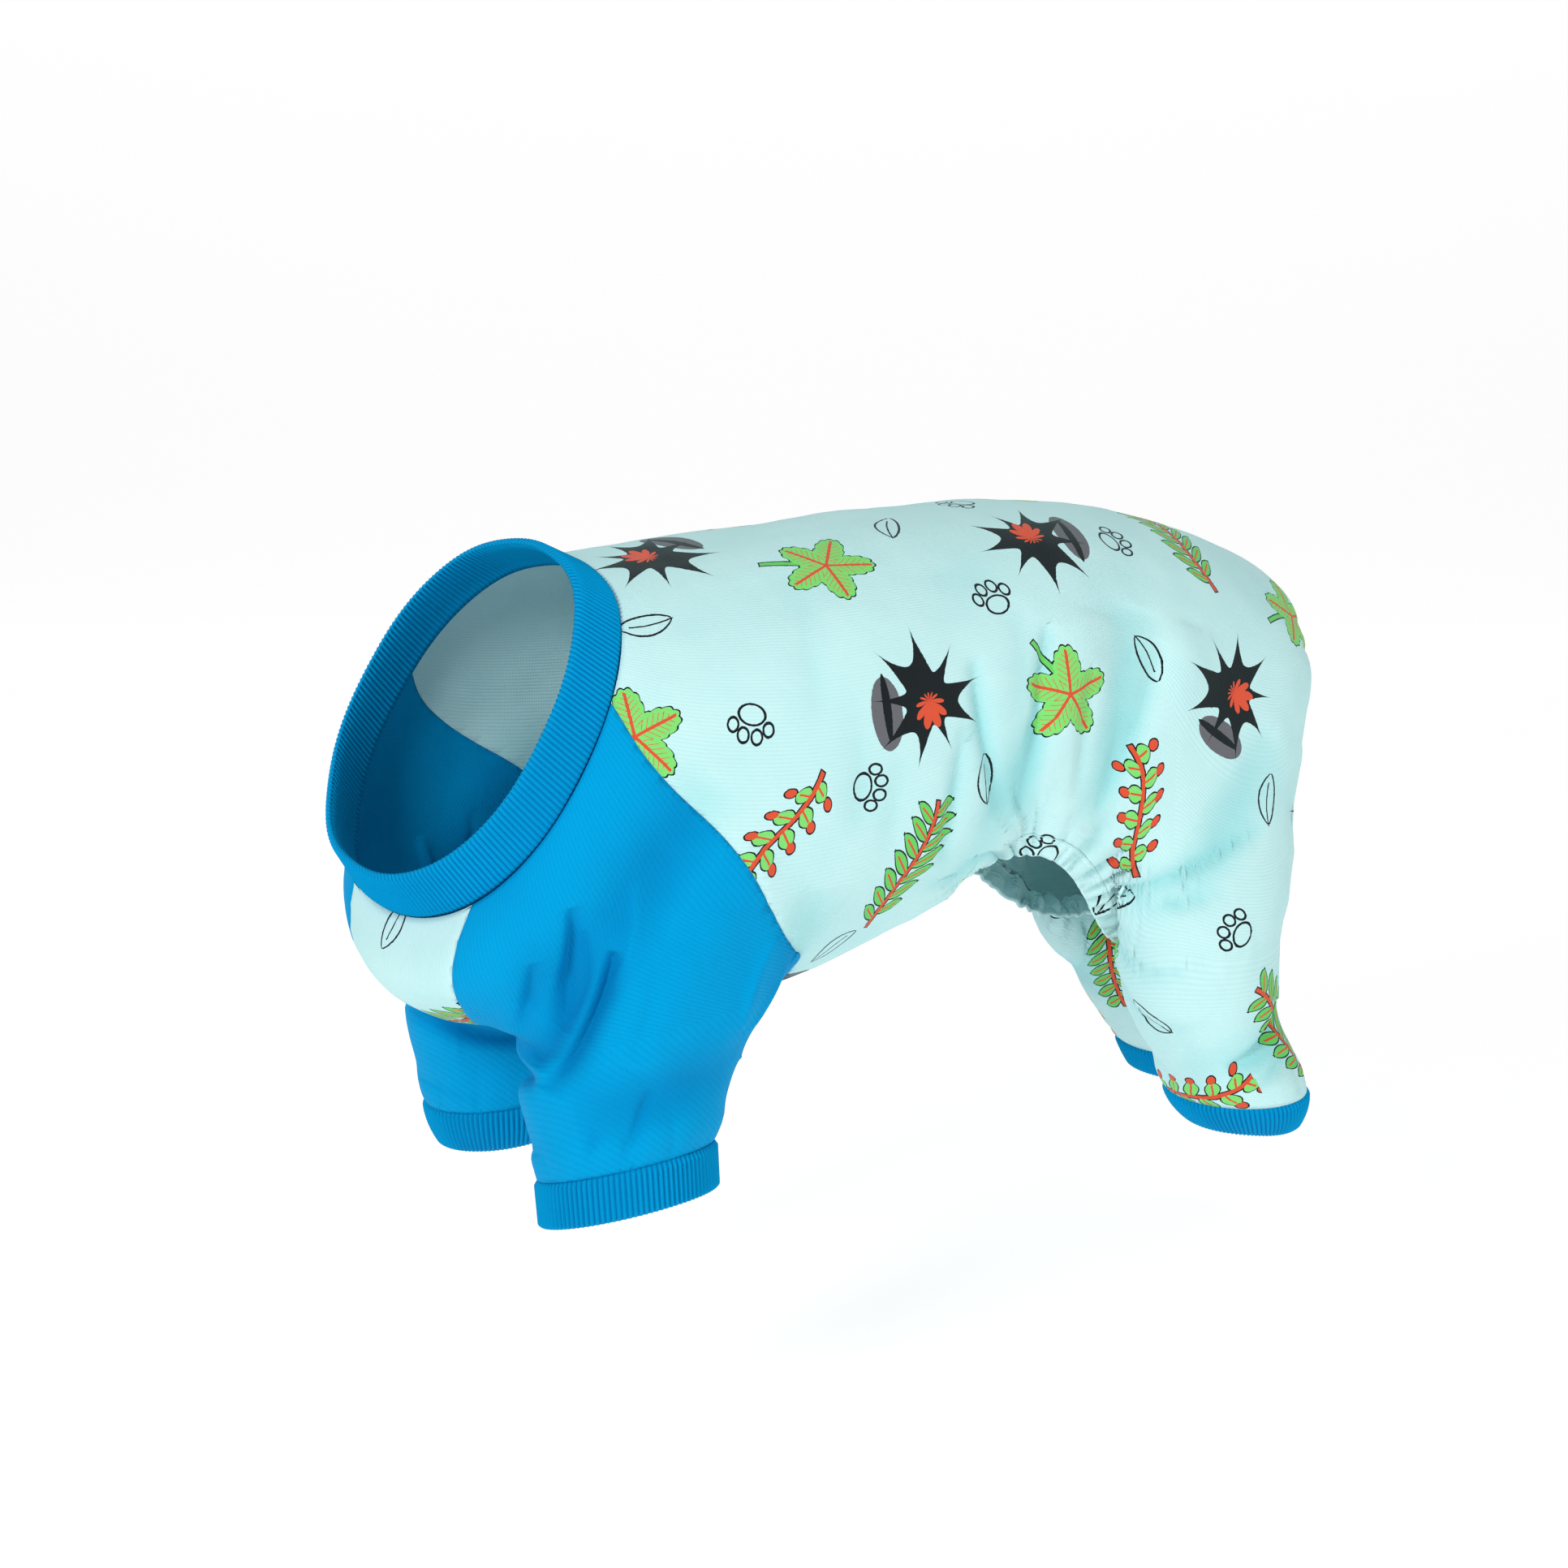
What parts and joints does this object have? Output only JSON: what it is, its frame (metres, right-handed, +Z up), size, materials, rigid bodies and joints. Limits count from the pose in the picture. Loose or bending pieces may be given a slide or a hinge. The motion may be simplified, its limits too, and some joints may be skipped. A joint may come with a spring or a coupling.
{
  "type": "pet jumpsuit",
  "caption": "Worn-form jersey pet jumpsuit, hollow, with raglan sleeves, hind legs, ribbed neckband and cuffs, and an elastic opening from belly to tail.",
  "frame": {"origin": "inside of the back panel, on the middle of the wearer's back, halfway along the jumpsuit", "axes": "+Z up, the neck opening towards -X and the tail end towards +X, the wearer's left side at -Y"},
  "size_m": [0.4679, 0.1757, 0.2816],
  "materials": {
    "aqua_jersey": "matte printed single jersey",
    "blue_jersey": "matte single jersey",
    "blue_rib": "matte rib knit"
  },
  "bodies": {
    "root": {"body_panel": "aqua_jersey", "hind_leg_near": "aqua_jersey", "hind_leg_far": "aqua_jersey", "chest_panel": "aqua_jersey", "sleeve_near": "blue_jersey", "sleeve_far": "blue_jersey", "neckband": "blue_rib", "front_cuff_near": "blue_rib", "front_cuff_far": "blue_rib", "hind_cuff_near": "blue_rib", "hind_cuff_far": "blue_rib", "belly_hem": "aqua_jersey"}
  },
  "joints": []
}
